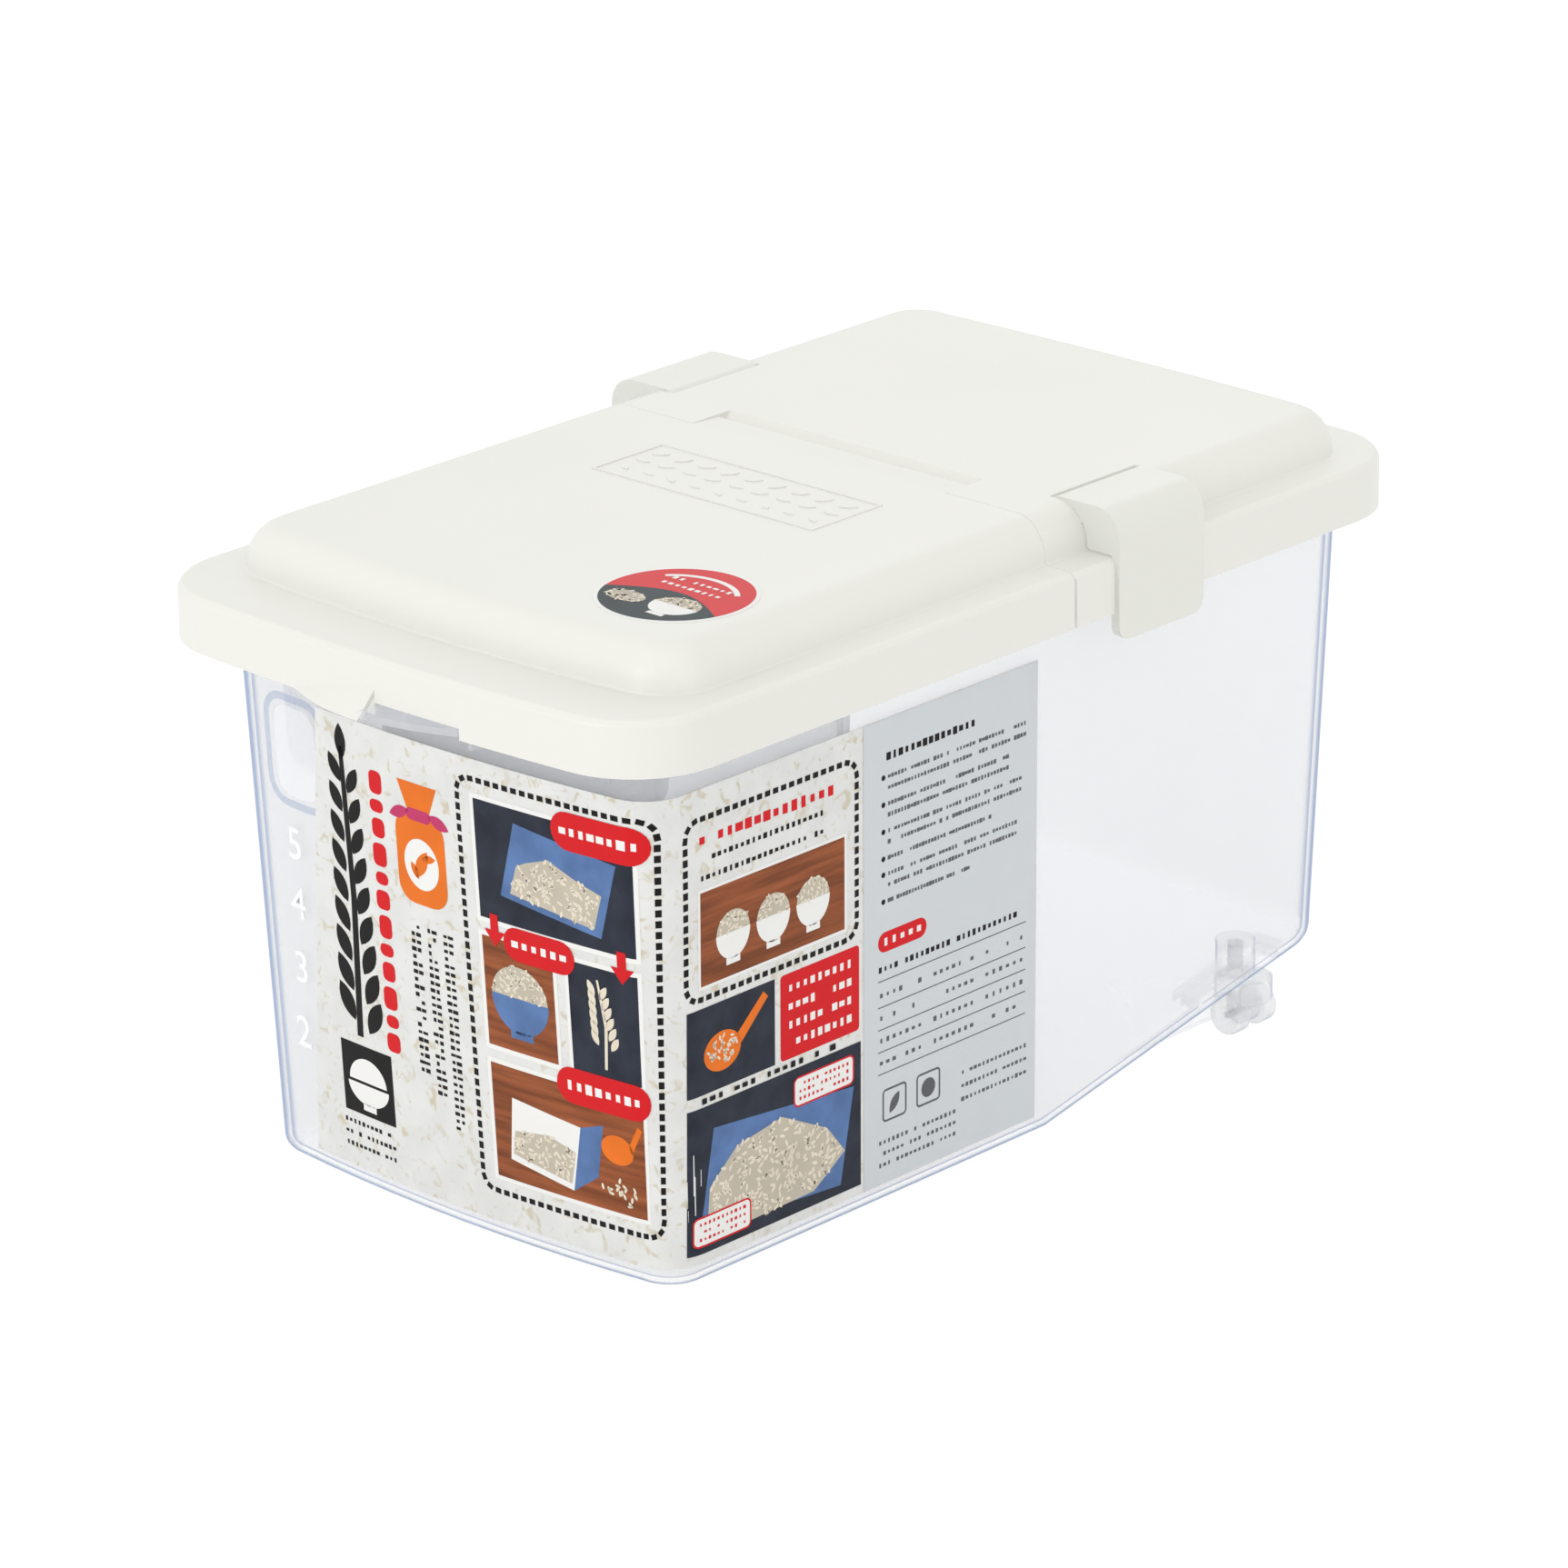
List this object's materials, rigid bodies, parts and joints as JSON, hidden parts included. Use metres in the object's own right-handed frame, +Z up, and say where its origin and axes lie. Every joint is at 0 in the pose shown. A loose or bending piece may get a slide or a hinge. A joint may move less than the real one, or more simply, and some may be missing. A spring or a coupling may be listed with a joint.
{
  "type": "rice bin",
  "caption": "Clear plastic rice storage bin with a white flip-front lid, side clips, sliding inner pocket, measuring cup, paper wrap label and small rear casters",
  "frame": {"origin": "on the floor below the middle of the overall width and depth", "axes": "+X to the right as seen from the front, +Y from the front lip to the rear, +Z up"},
  "size_m": [0.217, 0.369, 0.207],
  "materials": {
    "clear_body": "frosted translucent polypropylene",
    "clear_pocket": "frosted translucent polypropylene",
    "clear_cup": "clear polystyrene",
    "lid_white": "satin ivory white polypropylene",
    "clip_white": "glossy ivory white polystyrene",
    "label_paper": "printed paper",
    "sticker_film": "glossy printed sticker",
    "caster_plastic": "satin light grey polystyrene",
    "steel": "drawn steel wire"
  },
  "bodies": {
    "bin": {"container": "clear_body", "fixed_rear_lid": "lid_white", "wrap_label": "label_paper"},
    "front_lid": {"flip_front_lid": "lid_white", "lid_sticker": "sticker_film"},
    "left_clip": {"left_clip": "clip_white"},
    "right_clip": {"right_clip": "clip_white"},
    "pocket": {"slide_pocket": "clear_pocket"},
    "cup": {"rice_cup": "clear_cup"},
    "left_caster": {"left_caster_body": "caster_plastic", "left_caster_axle": "steel"},
    "left_front_wheel": {"left_caster_front_wheel": "caster_plastic"},
    "left_rear_wheel": {"left_caster_rear_wheel": "caster_plastic"},
    "right_caster": {"right_caster_body": "caster_plastic", "right_caster_axle": "steel"},
    "right_front_wheel": {"right_caster_front_wheel": "caster_plastic"},
    "right_rear_wheel": {"right_caster_rear_wheel": "caster_plastic"}
  },
  "joints": [
    {"name": "front_lid_hinge", "type": "hinge", "parent": "bin", "child": "front_lid", "pos_m": [0, 0.0282, 0.2046], "axis": [-1, 0, 0], "range_deg": [0, 150]},
    {"name": "left_clip_hinge", "type": "hinge", "parent": "bin", "child": "left_clip", "pos_m": [-0.084, 0.056, 0.2037], "axis": [0, 1, 0], "range_deg": [0, 20]},
    {"name": "right_clip_hinge", "type": "hinge", "parent": "bin", "child": "right_clip", "pos_m": [0.084, 0.056, 0.2037], "axis": [0, -1, 0], "range_deg": [0, 20]},
    {"name": "pocket_slide", "type": "slide", "parent": "bin", "child": "pocket", "axis": [0, 1, 0], "range_m": [0, 0.2]},
    {"name": "cup_slide", "type": "slide", "parent": "pocket", "child": "cup", "axis": [0, 1, 0], "range_m": [0, 0.025]},
    {"name": "left_caster_swivel", "type": "hinge", "parent": "bin", "child": "left_caster", "pos_m": [-0.0755, 0.132, 0.0179], "axis": [0, 0, 1], "continuous": true},
    {"name": "left_front_wheel_spin", "type": "hinge", "parent": "left_caster", "child": "left_front_wheel", "pos_m": [-0.079, 0.1254, 0.0065], "axis": [0, 1, 0], "continuous": true},
    {"name": "left_rear_wheel_spin", "type": "hinge", "parent": "left_caster", "child": "left_rear_wheel", "pos_m": [-0.079, 0.1386, 0.0065], "axis": [0, 1, 0], "continuous": true},
    {"name": "right_caster_swivel", "type": "hinge", "parent": "bin", "child": "right_caster", "pos_m": [0.0755, 0.132, 0.0179], "axis": [0, 0, 1], "continuous": true},
    {"name": "right_front_wheel_spin", "type": "hinge", "parent": "right_caster", "child": "right_front_wheel", "pos_m": [0.079, 0.1254, 0.0065], "axis": [0, 1, 0], "continuous": true},
    {"name": "right_rear_wheel_spin", "type": "hinge", "parent": "right_caster", "child": "right_rear_wheel", "pos_m": [0.079, 0.1386, 0.0065], "axis": [0, 1, 0], "continuous": true}
  ]
}
